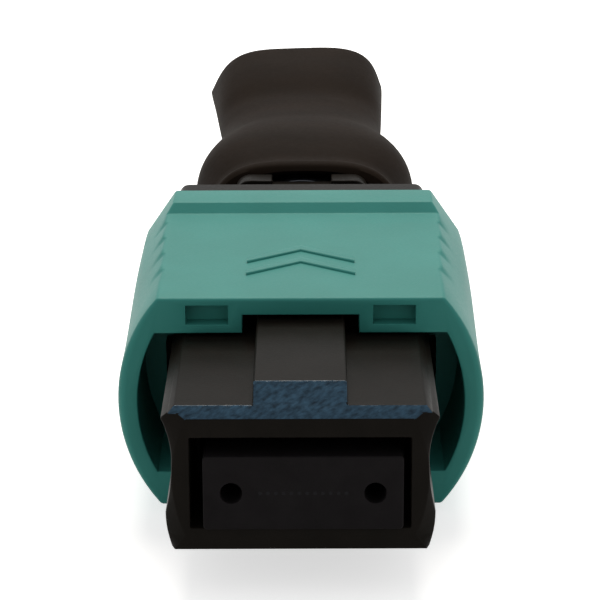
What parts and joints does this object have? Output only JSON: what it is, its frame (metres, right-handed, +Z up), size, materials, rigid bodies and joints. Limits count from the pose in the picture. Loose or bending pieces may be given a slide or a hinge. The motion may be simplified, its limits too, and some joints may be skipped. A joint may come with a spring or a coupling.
{
  "type": "mpo fibre connector",
  "caption": "Push-pull multi-fibre plug with a rectangular ferrule, keyed frame, sliding outer sleeve and a boot that flattens into a wide tail.",
  "frame": {"origin": "on the plug's axis, in the plane of the ferrule's end face, at mid height of the plug frame", "axes": "+Y runs back from the mating end to the boot, +Z up to the key, +X to the right seen from the mating end"},
  "size_m": [0.0126, 0.0531, 0.0082],
  "materials": {
    "sleeve": "satin moulded plastic, sea green",
    "frame": "fine matte moulded plastic, black",
    "body": "matte moulded plastic, black",
    "ferrule": "filled thermoset, black, polished end face",
    "keeper": "moulded plastic, dark grey",
    "insert": "soft rubber, black",
    "spring": "drawn stainless wire",
    "ring": "turned metal, plated",
    "boot": "satin moulded rubber, black"
  },
  "bodies": {
    "housing": {"plug_frame": "frame", "back_body": "body", "crimp_ring": "ring", "strain_relief_boot": "boot", "main_spring": "spring", "coupling_spring_left": "spring", "coupling_spring_right": "spring"},
    "sleeve": {"coupling_sleeve": "sleeve"},
    "ferrule": {"mt_ferrule": "ferrule", "pin_keeper": "keeper", "ferrule_boot": "insert"}
  },
  "joints": [
    {"name": "sleeve_slide", "type": "slide", "parent": "housing", "child": "sleeve", "axis": [0, 1, 0], "range_m": [0, 0.0016], "stiffness_N_per_m": 500, "springref_m": -0.003, "deforming": ["coupling_spring_left", "coupling_spring_right"]},
    {"name": "ferrule_slide", "type": "slide", "parent": "housing", "child": "ferrule", "axis": [0, 1, 0], "range_m": [0, 0.0008], "stiffness_N_per_m": 3000, "springref_m": -0.002, "deforming": ["main_spring"]}
  ]
}
